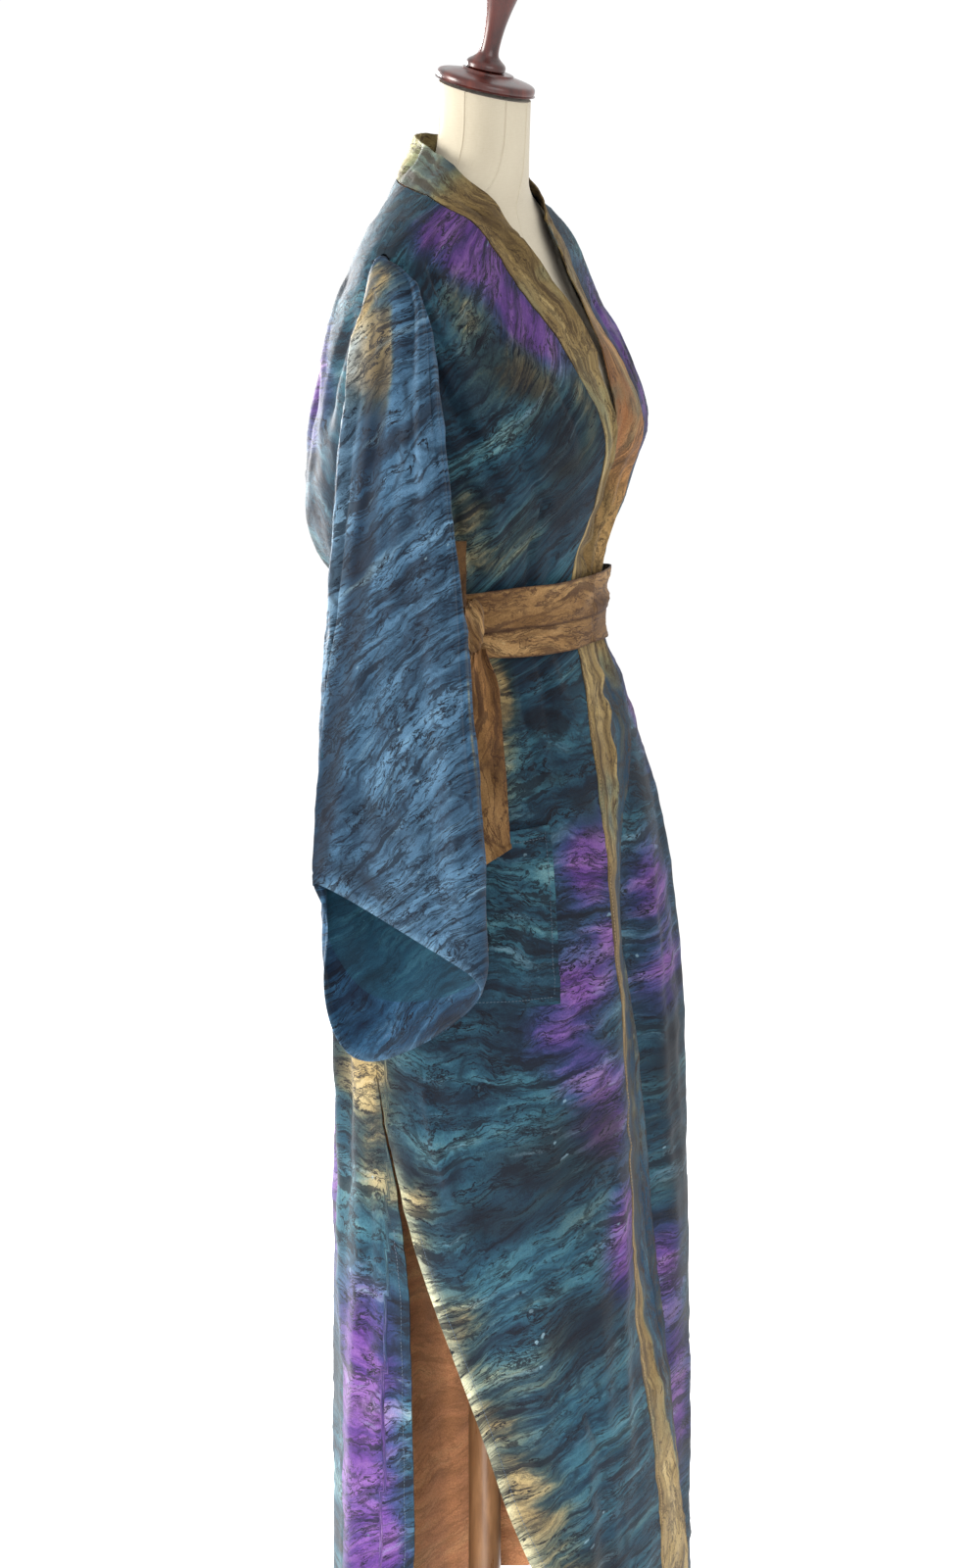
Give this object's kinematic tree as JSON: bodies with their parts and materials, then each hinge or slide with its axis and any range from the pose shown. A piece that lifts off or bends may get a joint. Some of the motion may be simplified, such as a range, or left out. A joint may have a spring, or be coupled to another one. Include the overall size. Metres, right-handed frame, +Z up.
{
  "type": "kimono duster on a dress form",
  "caption": "Long open kimono robe with wide hanging sleeves, continuous front band, side slit and tied belt, worn by a limbless dress form on a round foot.",
  "frame": {"origin": "centre of the foot's flat underside, on the floor", "axes": "+Z up; the form faces -Y; the wearer's right side is -X"},
  "size_m": [0.526, 0.3819, 1.719],
  "materials": {
    "dyed_cloth": "soft hand dyed cotton, teal and blue with violet and gold",
    "band_cloth": "soft hand dyed cotton, olive gold",
    "belt_cloth": "soft hand dyed cotton, brown gold",
    "form_cover": "tight cream linen over a padded shell",
    "turned_wood": "satin mahogany stain"
  },
  "bodies": {
    "root": {"back_panel": "dyed_cloth", "front_right": "dyed_cloth", "front_left": "dyed_cloth", "sleeve_right": "dyed_cloth", "sleeve_left": "dyed_cloth", "pocket_right": "dyed_cloth", "pocket_left": "dyed_cloth", "band_right": "band_cloth", "band_left": "band_cloth", "belt_lower_wrap": "belt_cloth", "belt_upper_wrap": "belt_cloth", "belt_knot": "belt_cloth", "belt_loop": "belt_cloth", "belt_end_front": "belt_cloth", "belt_end_back": "belt_cloth", "form_torso": "form_cover", "neck_cap": "turned_wood", "finial": "turned_wood", "pole": "turned_wood", "foot": "turned_wood"}
  },
  "joints": []
}
